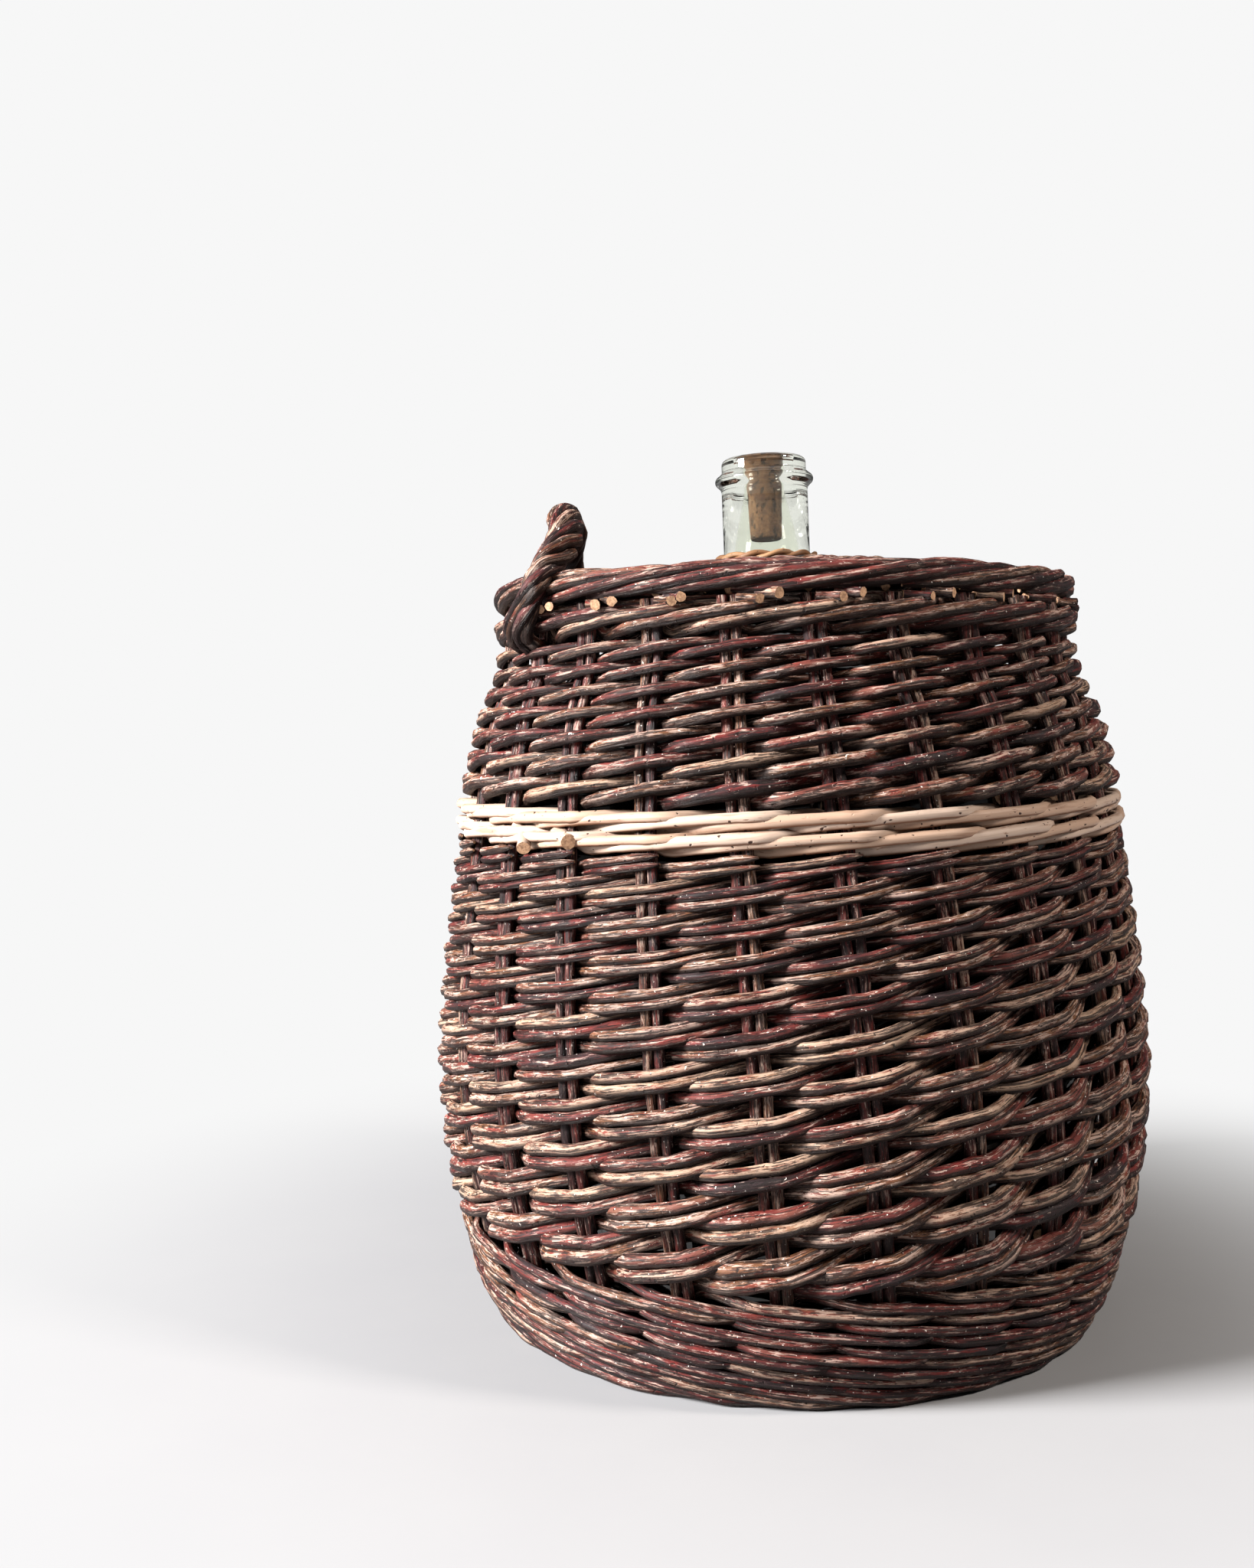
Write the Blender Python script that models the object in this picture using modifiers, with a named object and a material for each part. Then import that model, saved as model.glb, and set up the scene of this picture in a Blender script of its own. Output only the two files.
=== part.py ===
# A wicker demijohn: a leaning glass bottle in a round basket of woven willow,
# with a peeled band, a rope handle, a domed cover over the shoulders and a cork.
# The origin is the centre of the foot on the ground, +Z runs up the basket.
# Metres throughout.

import bmesh
import bpy
import numpy as np
from math import atan2, cos, pi, radians, sin, sqrt, tan, tau
from mathutils import Matrix, Vector

# Outside of the basket: radius and height of each place that shapes the wall
FOOT_RADIUS = 0.170
HEEL_RADIUS = 0.184
HEEL_HEIGHT = 0.0305
BELLY_RADIUS = 0.200
BELLY_HEIGHT = 0.138
BAND_RADIUS = 0.186
SHOULDER_RADIUS = 0.1755
SHOULDER_HEIGHT = 0.330
NAPE_RADIUS = 0.1645
NAPE_HEIGHT = 0.360
COLLAR_RADIUS = 0.1615
RIM_HEIGHT = 0.407

# Zones of weaving, each as its own height
FOOT_WALE_HEIGHT = 0.058
SLEW_HEIGHT = 0.2106
CREAM_WALE_HEIGHT = 0.0097
RAND_HEIGHT = 0.0856
TOP_WALE_HEIGHT = 0.0145

# Stakes: pairs of rods side by side
STAKE_COUNT = 24
STAKE_WIDTH = 0.010
STAKE_THICKNESS = 0.0045
STAKE_TWIST = radians(10)
STAKE_LEVELS = 8
WALL_HALF = 0.0078

# Weavers: radial thickness of the rods, and how many stakes each one crosses
SLEW_ROD = 0.0058
SLEW_CROSSINGS = 22
SLEW_TAPER = 0.56
RAND_ROD = 0.0060
RAND_CROSSINGS = 15
RAND_TAPER = 0.72
WALE_ROD = 0.0050
FOOT_WALE_ROUNDS = 7
TOP_WALE_ROUNDS = 2
CREAM_ROD = 0.0050

# Border, handle and neck ring: twisted willow
BORDER_RADIUS = 0.0075
BORDER_OUTSET = 0.0008
BORDER_TURNS = 4
BORDER_RINGS = 72
HANDLE_RADIUS = 0.0105
HANDLE_TURNS = 4
HANDLE_RINGS = 52
HANDLE_NEAR_ANGLE = radians(28.5)
HANDLE_FAR_ANGLE = radians(37)
HANDLE_RISE = 0.049
HANDLE_TUCK = 0.035
HANDLE_LEAN_IN = 0.035
HANDLE_INWARD_POWER = 4
HANDLE_UPWARD_POWER = 1.5
HANDLE_SEAT = 0.0006
NECK_RING_RADIUS = 0.0034
NECK_RING_TURNS = 3
NECK_RING_RINGS = 24
LOBE_DEPTH = 0.30

# Base: hub where the sticks cross, sticks above a woven mat
HUB_RADIUS = 0.046
HUB_THICKNESS = 0.0072
HUB_TURN = 0.02
STICK_START = 0.039
STICK_HEIGHT = 0.0090
MAT_ROWS = 5
MAT_RIDGE = 0.0012
MAT_DOME = 0.0030
RIDGE_START = 0.15
RIDGE_END = 0.85
FOOT_RING_WIDTH = 0.012

# Cover over the bottle's shoulders
COVER_THICKNESS = 0.0075
COVER_RISE = 0.020
COVER_ROWS = 21
COVER_WEAVE = 0.0021
COVER_HAUNCH_ROW = 8
COVER_HAUNCH_RISE = 0.8

# Bottle: wall, lean and neck
GLASS = 0.0040
BOTTLE_LEAN = radians(1.3)
BOTTLE_LEAN_BACK = radians(1.2)
BOTTLE_OFFSET = 0.0025
PACKING_GAP = 0.002
PUNT_HEIGHT = 0.012
BOTTLE_HEEL = 0.045
SHOULDER_START = 0.268
NECK_ROOT = 0.392
NECK_RADIUS = 0.0247
NECK_BORE = 0.0190
LIP_HEIGHT = 0.480
LIP_RADIUS = 0.0242
LIP_ROUND = 0.0030
BEAD_RADIUS = 0.0282
BEAD_DROP = 0.0125
BEAD_HALF = 0.0042
COLLAR_DEPTH = 0.020
MOUTH_BORE = 0.0112
BOTTLE_STEPS = 28

# Cork
CORK_TOP_RADIUS = 0.0108
CORK_END_RADIUS = 0.0090
CORK_LENGTH = 0.0435
CORK_SUNK = 0.002
CORK_EDGE = 0.0008

# Gap between pieces that touch, and between rods that pass each other
GAP = 0.0004
PASSING_GAP = 0.0008

# Heights worked out from the zones
SLEW_BOTTOM = FOOT_WALE_HEIGHT + GAP
BAND_BOTTOM = SLEW_BOTTOM + SLEW_HEIGHT
RAND_BOTTOM = BAND_BOTTOM + 2 * CREAM_WALE_HEIGHT
TOP_WALE_BOTTOM = RAND_BOTTOM + RAND_HEIGHT
TOP_WALE_TOP = TOP_WALE_BOTTOM + TOP_WALE_HEIGHT
STAKE_TOP = RIM_HEIGHT - 2 * BORDER_RADIUS - GAP
STAKE_BOTTOM = STICK_HEIGHT + STAKE_WIDTH


def smooth_curve(knots):
    # A smooth line through the knots that never overshoots them
    x, y = np.array(knots).T
    step = np.diff(x)
    rise = np.diff(y) / step
    slope = np.concatenate(([rise[0]], np.zeros(len(x) - 2), [rise[-1]]))
    for i in range(1, len(x) - 1):
        if rise[i - 1] * rise[i] > 0:
            slope[i] = 2 * rise[i - 1] * rise[i] / (rise[i - 1] + rise[i])

    def value(at):
        i = int(np.clip(np.searchsorted(x, at) - 1, 0, len(step) - 1))
        t = (at - x[i]) / step[i]
        ends = y[i] * (2 * t ** 3 - 3 * t ** 2 + 1) + y[i + 1] * (3 * t ** 2 - 2 * t ** 3)
        bends = slope[i] * (t ** 3 - 2 * t ** 2 + t) + slope[i + 1] * (t ** 3 - t ** 2)
        return float(ends + step[i] * bends)

    return value


wall_radius = smooth_curve((
    (0, FOOT_RADIUS),
    (HEEL_HEIGHT, HEEL_RADIUS),
    (BELLY_HEIGHT, BELLY_RADIUS),
    (BAND_BOTTOM + CREAM_WALE_HEIGHT, BAND_RADIUS),
    (SHOULDER_HEIGHT, SHOULDER_RADIUS),
    (NAPE_HEIGHT, NAPE_RADIUS),
    (STAKE_TOP, COLLAR_RADIUS),
))
stake_heights = np.linspace(STAKE_BOTTOM, STAKE_TOP, STAKE_LEVELS)
stake_radii = [wall_radius(z) - WALL_HALF for z in stake_heights]


def stake_radius(z):
    if z < STAKE_BOTTOM:
        return wall_radius(z) - WALL_HALF
    return float(np.interp(z, stake_heights, stake_radii))


def stake_turn(z):
    # The stakes lean sideways, to the right as they go down
    return STAKE_TWIST * (1 - z / RIM_HEIGHT)


def polar(radius, angle, z):
    return Vector((radius * cos(angle), radius * sin(angle), z))


def crossing_offset(z, rod, height):
    # How far from the stakes' circle a rod's centre lies where it passes a stake
    lean = abs(stake_radius(z + height / 2) - stake_radius(z - height / 2)) / 2
    stake = STAKE_THICKNESS / 2 * sqrt(1 + (2 * lean / height) ** 2)
    return stake + rod / 2 + GAP + lean


def wall_inner_radius(z):
    return stake_radius(z) - crossing_offset(z, SLEW_ROD, SLEW_ROD) - SLEW_ROD / 2


# Collections, materials and the shapes that repeat

def new_collection(name):
    collection = bpy.data.collections.new(name)
    bpy.context.scene.collection.children.link(collection)
    return collection


def new_material(name, colour, roughness, alpha=1.0, transmission=0.0):
    material = bpy.data.materials.new(name)
    material.use_nodes = True
    shader = material.node_tree.nodes["Principled BSDF"]
    shader.inputs["Base Color"].default_value = (*colour, 1)
    shader.inputs["Roughness"].default_value = roughness
    shader.inputs["Metallic"].default_value = 0
    shader.inputs["Alpha"].default_value = alpha
    shader.inputs["Transmission Weight"].default_value = transmission
    return material


def add_object(name, data, material, collection):
    obj = bpy.data.objects.new(name, data)
    if not data.materials:
        data.materials.append(material)
    collection.objects.link(obj)
    return obj


def add_guide(name, outline, collection):
    # A flat closed outline that rods are swept with
    curve = bpy.data.curves.new(name, "CURVE")
    curve.dimensions = "2D"
    spline = curve.splines.new("POLY")
    spline.points.add(len(outline) - 1)
    spline.use_cyclic_u = True
    for point, (x, y) in zip(spline.points, outline):
        point.co = (x, y, 0, 1)
    guide = bpy.data.objects.new(name, curve)
    guide.hide_render = True
    guide.display_type = "WIRE"
    collection.objects.link(guide)
    return guide


def box_outline(width, height):
    return [(-width / 2, height / 2), (width / 2, height / 2),
            (width / 2, -height / 2), (-width / 2, -height / 2)]


def lobed_outline(radius):
    # Three strands seen end on
    outline = []
    for i in range(6):
        reach = radius if i % 2 == 0 else radius * (1 - LOBE_DEPTH)
        outline.append((reach * cos(tau * i / 6), -reach * sin(tau * i / 6)))
    return outline


def swept_curve(name, points, guide, radii=None, tilts=None, cyclic=False, twist="Z_UP"):
    curve = bpy.data.curves.new(name, "CURVE")
    curve.dimensions = "3D"
    curve.twist_mode = twist
    curve.bevel_mode = "OBJECT"
    curve.bevel_object = guide
    curve.use_fill_caps = not cyclic
    curve.render_resolution_u = 0
    spline = curve.splines.new("POLY")
    spline.points.add(len(points) - 1)
    spline.use_cyclic_u = cyclic
    for i, co in enumerate(points):
        spline.points[i].co = (*co, 1)
        spline.points[i].radius = 1 if radii is None else radii[i]
        spline.points[i].tilt = 0 if tilts is None else tilts[i]
    return curve


def turned_object(name, profile, steps, material, collection):
    # The profile runs down the outer side at +X, then up inside
    mesh = bpy.data.meshes.new(name)
    shape = bmesh.new()
    ring = [shape.verts.new((x, 0, z)) for x, z in profile]
    for first, second in zip(ring, ring[1:] + ring[:1]):
        if profile[ring.index(first)][0] > 0 or profile[ring.index(second)][0] > 0:
            shape.edges.new((first, second))
    shape.to_mesh(mesh)
    shape.free()
    obj = add_object(name, mesh, material, collection)
    screw = obj.modifiers.new("turn", "SCREW")
    screw.steps = steps
    screw.render_steps = steps
    screw.use_merge_vertices = True
    screw.merge_threshold = 0.00001
    screw.use_smooth_shade = True
    return obj


def curve_to_mesh(obj):
    # Reads the swept curve as a mesh with its caps welded
    graph = bpy.context.evaluated_depsgraph_get()
    mesh = bpy.data.meshes.new_from_object(obj.evaluated_get(graph))
    shape = bmesh.new()
    shape.from_mesh(mesh)
    bmesh.ops.remove_doubles(shape, verts=shape.verts, dist=0.00001)
    shape.to_mesh(mesh)
    shape.free()
    return mesh


# Weaving

def row_cells(bottom, top, count, taper):
    # Splits a zone into cells whose heights shrink steadily to taper times the first
    heights = np.array([taper ** (i / (count - 1)) for i in range(count)])
    heights *= (top - bottom) / heights.sum()
    centres = bottom + np.cumsum(heights) - heights / 2
    return centres, heights


def randed_path(bottom, top, count, taper, rod):
    # In front of one stake and behind the next, climbing to the right
    centres, cells = row_cells(bottom, top, count, taper)
    points = []
    sizes = []
    for k, (z, cell) in enumerate(zip(centres, cells)):
        span = tau * stake_radius(z) / STAKE_COUNT
        height = cell * cos(atan2(cell, span)) - PASSING_GAP
        size = height / (cells[0] - PASSING_GAP)
        side = 1 if k % 2 else -1
        radius = stake_radius(z) + side * crossing_offset(z, rod * size, height)
        points.append(polar(radius, tau * k / STAKE_COUNT + stake_turn(z), z))
        sizes.append(size)
    return points, sizes, cells[0] - PASSING_GAP


def add_randing(prefix, zone, count, taper, rod, material, collection, guides):
    # One rod starts at each stake, and all of them climb side by side
    points, sizes, height = randed_path(*zone, count, taper, rod)
    guide = add_guide(prefix + "_section", box_outline(rod, height), guides)
    curve = swept_curve(prefix, points, guide, radii=sizes)
    for i in range(STAKE_COUNT):
        weaver = add_object(f"{prefix}_{i + 1:02d}", curve, material, collection)
        weaver.rotation_euler.z = tau * i / STAKE_COUNT


def wale_point(step, z, rod, height, behind):
    side = -1 if behind else 1
    radius = stake_radius(z) + side * crossing_offset(z, rod, height)
    return polar(radius, tau * step / STAKE_COUNT + stake_turn(z), z)


def add_spiral_wale(name, bottom, top, rounds, woven_from, material, collection, guides):
    # One long weaver, in front of two stakes and behind the third; each round it steps on by a stake
    pitch = (top - bottom) / (rounds + 1)
    height = pitch - GAP
    guide = add_guide(name + "_section", box_outline(WALE_ROD, height), guides)
    points = []
    for step in range(rounds * STAKE_COUNT + 1):
        z = bottom + pitch * (0.5 + step / STAKE_COUNT)
        behind = z > woven_from and (step + step // STAKE_COUNT) % 3 == 2
        points.append(wale_point(step, z, WALE_ROD, height, behind))
    return add_object(name, swept_curve(name, points, guide), material, collection)


def add_cream_wale(name, bottom, phase, material, collection, guides):
    # A closed row of two peeled rods, one on the other
    height = CREAM_WALE_HEIGHT - GAP
    z = bottom + CREAM_WALE_HEIGHT / 2
    guide = add_guide(name + "_section", box_outline(CREAM_ROD, height), guides)
    points = []
    for step in range(STAKE_COUNT):
        points.append(wale_point(step, z, CREAM_ROD, height, step % 3 == phase))
    return add_object(name, swept_curve(name, points, guide, cyclic=True), material, collection)


# Stakes and base

def add_stake_cage(material, collection, guides):
    half = STAKE_WIDTH / 2
    outline = [(-half, 0), (0, STAKE_THICKNESS / 2), (half, 0), (0, -STAKE_THICKNESS / 2)]
    guide = add_guide("stake_section", outline, guides)
    strips = []
    for i in range(STAKE_COUNT):
        turn = tau * i / STAKE_COUNT
        foot_angle = turn + stake_turn(STAKE_BOTTOM)
        points = [polar(STICK_START, foot_angle, STICK_HEIGHT),
                  polar(stake_radii[0] - STAKE_WIDTH, foot_angle, STICK_HEIGHT)]
        for z, radius in zip(stake_heights, stake_radii):
            points.append(polar(radius, turn + stake_turn(z), z))
        curve = swept_curve("stake", points, guide, twist="MINIMUM")
        strip = bpy.data.objects.new("stake", curve)
        collection.objects.link(strip)
        strips.append(strip)
    bpy.context.view_layer.update()
    cage = bmesh.new()
    for strip in strips:
        mesh = curve_to_mesh(strip)
        cage.from_mesh(mesh)
        bpy.data.objects.remove(strip)
        bpy.data.meshes.remove(mesh)
    mesh = bpy.data.meshes.new("stake_cage")
    cage.to_mesh(mesh)
    cage.free()
    obj = add_object("stake_cage", mesh, material, collection)
    hub_mesh = bpy.data.meshes.new("hub")
    hub = bmesh.new()
    place = Matrix.Translation((0, 0, STICK_HEIGHT)) @ Matrix.Rotation(HUB_TURN, 4, "Z")
    bmesh.ops.create_cone(hub, cap_ends=True, segments=STAKE_COUNT, radius1=HUB_RADIUS,
                          radius2=HUB_RADIUS, depth=HUB_THICKNESS, matrix=place)
    hub.to_mesh(hub_mesh)
    hub.free()
    hub_object = bpy.data.objects.new("hub_cutter", hub_mesh)
    hub_object.hide_render = True
    hub_object.display_type = "WIRE"
    guides.objects.link(hub_object)
    union = obj.modifiers.new("hub", "BOOLEAN")
    union.operation = "UNION"
    union.object = hub_object
    return obj


def add_base_mat(material, collection):
    # A woven disc under the sticks, domed so that only its foot ring meets the ground
    top = STICK_HEIGHT - STAKE_THICKNESS / 2 - GAP
    outer = stake_radius(0) - GAP
    inner_foot = outer - FOOT_RING_WIDTH
    inner = HUB_RADIUS + GAP
    profile = [(outer, top), (outer, 0), (inner_foot, 0)]
    row = (inner_foot - inner) / MAT_ROWS
    for i in range(MAT_ROWS):
        start = inner_foot - i * row
        dome = MAT_DOME * (i + 0.5) / MAT_ROWS
        profile += [(start - RIDGE_START * row, MAT_RIDGE + dome), (start - RIDGE_END * row, dome)]
    profile += [(inner, MAT_DOME + MAT_RIDGE), (inner, top)]
    return turned_object("base_mat", profile, STAKE_COUNT, material, collection)


# Bottle and cork

def bottle_axis():
    return Vector((-tan(BOTTLE_LEAN), tan(BOTTLE_LEAN_BACK), 1)).normalized()


def body_radius(height):
    # As wide as the leaning bottle can be in the basket at this height
    lean = (tan(BOTTLE_LEAN) + tan(BOTTLE_LEAN_BACK)) * height
    return wall_inner_radius(STICK_HEIGHT + height) - PACKING_GAP - lean


def seat_ring():
    return body_radius(BOTTLE_HEEL) - BOTTLE_HEEL


def seat_height():
    # The low side of the bottle's foot rests on the sticks
    top_of_sticks = STICK_HEIGHT + STAKE_THICKNESS / 2 + GAP
    return top_of_sticks + seat_ring() * sqrt(1 - bottle_axis().z ** 2)


def bottle_matrix():
    tilt = Vector((0, 0, 1)).rotation_difference(bottle_axis()).to_matrix().to_4x4()
    return Matrix.Translation((BOTTLE_OFFSET, 0, seat_height())) @ tilt


def along_neck(height):
    # A height above the ground as a distance along the bottle's axis
    return (height - seat_height()) / bottle_axis().z


def bottle_outline(wall):
    # From the neck's foot down the shoulder, the body and the heel to the punt
    shoulder = body_radius(along_neck(SHOULDER_START))
    outline = []
    root = along_neck(NECK_ROOT)
    start = along_neck(SHOULDER_START)
    for i in range(1, 6):
        turn = pi / 2 * (1 - i / 5) ** 1.2
        rise = start + (root - wall - start) * sin(turn)
        outline.append((NECK_RADIUS + (shoulder - NECK_RADIUS) * cos(turn) - wall, rise))
    for height in np.linspace(start, BOTTLE_HEEL, 4)[1:]:
        outline.append((body_radius(height) - wall, float(height)))
    for i in range(1, 4):
        turn = pi / 2 * i / 3
        bend = BOTTLE_HEEL - wall
        outline.append((seat_ring() + bend * cos(turn), BOTTLE_HEEL - bend * sin(turn)))
    outline.append((0, PUNT_HEIGHT + wall))
    return outline


def add_glass_bottle(material, collection):
    top = along_neck(LIP_HEIGHT)
    root = along_neck(NECK_ROOT)
    bead = top - BEAD_DROP
    outside = [(LIP_RADIUS - LIP_ROUND, top), (LIP_RADIUS, top - LIP_ROUND),
               (LIP_RADIUS, bead + BEAD_HALF), (BEAD_RADIUS, bead + BEAD_HALF / 2),
               (BEAD_RADIUS, bead - BEAD_HALF / 2), (NECK_RADIUS, bead - BEAD_HALF),
               (NECK_RADIUS, root)]
    inside = [(NECK_BORE, root), (NECK_BORE, top - COLLAR_DEPTH),
              (MOUTH_BORE, top - COLLAR_DEPTH + LIP_ROUND), (MOUTH_BORE, top)]
    profile = outside + bottle_outline(0) + bottle_outline(GLASS)[::-1] + inside
    bottle = turned_object("glass_bottle", profile, BOTTLE_STEPS, material, collection)
    bottle.matrix_world = bottle_matrix()
    return bottle


def add_cork(material, collection):
    # A tapered stopper whose top sits just under the lip
    top = along_neck(LIP_HEIGHT) - CORK_SUNK
    profile = [(0, top), (CORK_TOP_RADIUS - CORK_EDGE, top), (CORK_TOP_RADIUS, top - CORK_EDGE),
               (CORK_END_RADIUS, top - CORK_LENGTH + CORK_EDGE),
               (CORK_END_RADIUS - CORK_EDGE, top - CORK_LENGTH), (0, top - CORK_LENGTH)]
    cork = turned_object("cork_stopper", profile, 20, material, collection)
    cork.matrix_world = bottle_matrix()
    return cork


def neck_centre(z):
    base = bottle_matrix().translation
    axis = bottle_axis()
    return base + axis * ((z - base.z) / axis.z)


# Twisted willow: border, handle and neck ring

def border_centre():
    return stake_radii[-1] + BORDER_OUTSET


def add_border(material, collection, guides):
    guide = add_guide("border_section", lobed_outline(BORDER_RADIUS), guides)
    z = RIM_HEIGHT - BORDER_RADIUS
    points = [polar(border_centre(), tau * i / BORDER_RINGS, z) for i in range(BORDER_RINGS)]
    tilts = [tau * BORDER_TURNS * i / BORDER_RINGS for i in range(BORDER_RINGS)]
    curve = swept_curve("rim_border", points, guide, tilts=tilts, cyclic=True)
    return add_object("rim_border", curve, material, collection)


def handle_point(share):
    # From the near leg, outside the top wale, in over the border and out to the far leg
    middle = pi + (HANDLE_NEAR_ANGLE - HANDLE_FAR_ANGLE) / 2
    spread = (HANDLE_NEAR_ANGLE + HANDLE_FAR_ANGLE) / 2
    angle = middle + spread * cos(pi * share)
    arch = sin(pi * share)
    low = RIM_HEIGHT - HANDLE_TUCK
    high = RIM_HEIGHT + HANDLE_RISE - HANDLE_RADIUS
    foot = wall_radius(low) + HANDLE_RADIUS
    inward = (HANDLE_LEAN_IN + HANDLE_RADIUS) * arch ** HANDLE_INWARD_POWER
    section = Vector((foot - inward, low + (high - low) * arch ** HANDLE_UPWARD_POWER))
    return polar(*beside_border(section, angle))


def beside_border(section, angle):
    # Moves a place on the rope straight out of the border, if it would lie in it
    centre = Vector((border_centre(), RIM_HEIGHT - BORDER_RADIUS))
    away = section - centre
    clear = BORDER_RADIUS + HANDLE_RADIUS - HANDLE_SEAT
    if away.length < clear:
        section = centre + away.normalized() * clear
    return section.x, angle, section.y


def add_handle(material, collection, guides):
    guide = add_guide("handle_section", lobed_outline(HANDLE_RADIUS), guides)
    shares = [i / (HANDLE_RINGS - 1) for i in range(HANDLE_RINGS)]
    points = [handle_point(share) for share in shares]
    tilts = [tau * HANDLE_TURNS * share for share in shares]
    curve = swept_curve("handle_rope", points, guide, tilts=tilts, twist="MINIMUM")
    return add_object("handle_rope", curve, material, collection)


def add_neck_ring(material, collection, guides):
    guide = add_guide("neck_ring_section", lobed_outline(NECK_RING_RADIUS), guides)
    radius = NECK_RADIUS + GAP + NECK_RING_RADIUS
    points = [polar(radius, tau * i / NECK_RING_RINGS, 0) for i in range(NECK_RING_RINGS)]
    tilts = [tau * NECK_RING_TURNS * i / NECK_RING_RINGS for i in range(NECK_RING_RINGS)]
    curve = swept_curve("neck_ring", points, guide, tilts=tilts, cyclic=True)
    ring = add_object("neck_ring", curve, material, collection)
    height = cover_top() + NECK_RING_RADIUS + GAP
    tilt = bottle_matrix().to_3x3().to_4x4()
    ring.matrix_world = Matrix.Translation(neck_centre(height)) @ tilt
    return ring


# Cover over the shoulders

def cover_edge():
    return border_centre() - BORDER_RADIUS - GAP


def cover_top():
    return RIM_HEIGHT - BORDER_RADIUS + COVER_RISE


def cover_weave(place, hole, row):
    # Over one stake and under the next, the other way round in the next row
    rows = (place.xy.length - hole) / row
    if abs(rows % 1 - 0.5) > 0.1:
        return 0
    stake = round(atan2(place.y, place.x) / tau * STAKE_COUNT)
    return COVER_WEAVE if (int(rows) + stake) % 2 else -COVER_WEAVE


def add_shoulder_cover(material, collection):
    # A shallow woven dome, drawn over to the leaning neck
    hole = NECK_RADIUS + 3 * GAP
    edge = cover_edge()
    low = RIM_HEIGHT - BORDER_RADIUS
    row = (edge - hole) / COVER_ROWS
    woven = []
    for half_rows in range(1, 2 * COVER_ROWS):
        radius = hole + half_rows / 2 * row
        rise = COVER_RISE * (1 - ((radius - hole) / (edge - hole)) ** 2)
        woven.append((radius, low + rise - COVER_WEAVE))
    haunch = low + COVER_HAUNCH_RISE * COVER_RISE - COVER_THICKNESS
    under = [(edge, low - COVER_THICKNESS), (hole + COVER_HAUNCH_ROW * row, haunch),
             (hole, cover_top() - COVER_THICKNESS)]
    profile = [(hole, cover_top())] + woven + [(edge, low - COVER_WEAVE)] + under
    cover = turned_object("shoulder_cover", profile, STAKE_COUNT, material, collection)
    bpy.context.view_layer.update()
    dome = curve_to_mesh(cover)
    axis = bottle_axis()
    for vertex in dome.vertices:
        vertex.co.z += cover_weave(vertex.co, hole, row)
        share = (edge - vertex.co.xy.length) / (edge - hole)
        tilt = -vertex.co.xy.dot(axis.xy) / axis.z
        vertex.co += share * Vector((*neck_centre(vertex.co.z).xy, tilt))
    cover.modifiers.clear()
    cover.data = dome
    return cover


def main():
    for obj in list(bpy.data.objects):
        bpy.data.objects.remove(obj)
    parts = new_collection("wicker_demijohn")
    guides = new_collection("guides")
    willow = new_material("brown_willow", (0.080, 0.045, 0.036), 0.62)
    peeled = new_material("peeled_willow", (0.72, 0.53, 0.36), 0.5)
    pale = new_material("pale_willow", (0.35, 0.24, 0.12), 0.55)
    glass = new_material("green_glass", (0.80, 0.90, 0.80), 0.05, alpha=0.35, transmission=1.0)
    cork = new_material("cork", (0.20, 0.11, 0.065), 0.85)

    add_stake_cage(willow, parts, guides)
    add_base_mat(willow, parts)
    add_spiral_wale("foot_wale", GAP, FOOT_WALE_HEIGHT, FOOT_WALE_ROUNDS,
                    STAKE_BOTTOM + WALE_ROD, willow, parts, guides)
    add_randing("slew_pair", (SLEW_BOTTOM, BAND_BOTTOM), SLEW_CROSSINGS, SLEW_TAPER,
                SLEW_ROD, willow, parts, guides)
    add_cream_wale("cream_wale_lower", BAND_BOTTOM, 0, peeled, parts, guides)
    add_cream_wale("cream_wale_upper", BAND_BOTTOM + CREAM_WALE_HEIGHT, 1, peeled, parts, guides)
    add_randing("rand_rod", (RAND_BOTTOM, TOP_WALE_BOTTOM), RAND_CROSSINGS, RAND_TAPER,
                RAND_ROD, willow, parts, guides)
    add_spiral_wale("top_wale", TOP_WALE_BOTTOM, TOP_WALE_TOP, TOP_WALE_ROUNDS,
                    0, willow, parts, guides)
    add_border(willow, parts, guides)
    add_shoulder_cover(willow, parts)
    add_neck_ring(pale, parts, guides)
    add_handle(willow, parts, guides)
    add_glass_bottle(glass, parts)
    add_cork(cork, parts)


main()
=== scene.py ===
# Wicker demijohn, dressed: every willow rod of the basket, the glass bottle and its cork.
# Metres, z up, the centre of the foot on the ground. The camera looks along +Y.
import math
import random

import bmesh
import bpy
from mathutils import Matrix, Vector, noise


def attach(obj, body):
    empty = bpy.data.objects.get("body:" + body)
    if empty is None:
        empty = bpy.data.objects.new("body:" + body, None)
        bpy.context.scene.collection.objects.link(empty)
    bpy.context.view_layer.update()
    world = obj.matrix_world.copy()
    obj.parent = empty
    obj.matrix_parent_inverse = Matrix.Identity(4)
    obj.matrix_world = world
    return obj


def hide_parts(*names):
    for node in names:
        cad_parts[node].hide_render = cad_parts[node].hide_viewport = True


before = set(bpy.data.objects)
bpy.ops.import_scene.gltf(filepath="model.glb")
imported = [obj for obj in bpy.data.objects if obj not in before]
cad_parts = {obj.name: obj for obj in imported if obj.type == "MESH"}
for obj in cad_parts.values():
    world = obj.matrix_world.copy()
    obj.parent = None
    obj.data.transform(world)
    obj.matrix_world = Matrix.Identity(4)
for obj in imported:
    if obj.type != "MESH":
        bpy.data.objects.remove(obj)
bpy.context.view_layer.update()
print("frame loaded:", len(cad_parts), "nodes")


# Shapes that everything else leans on

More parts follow.
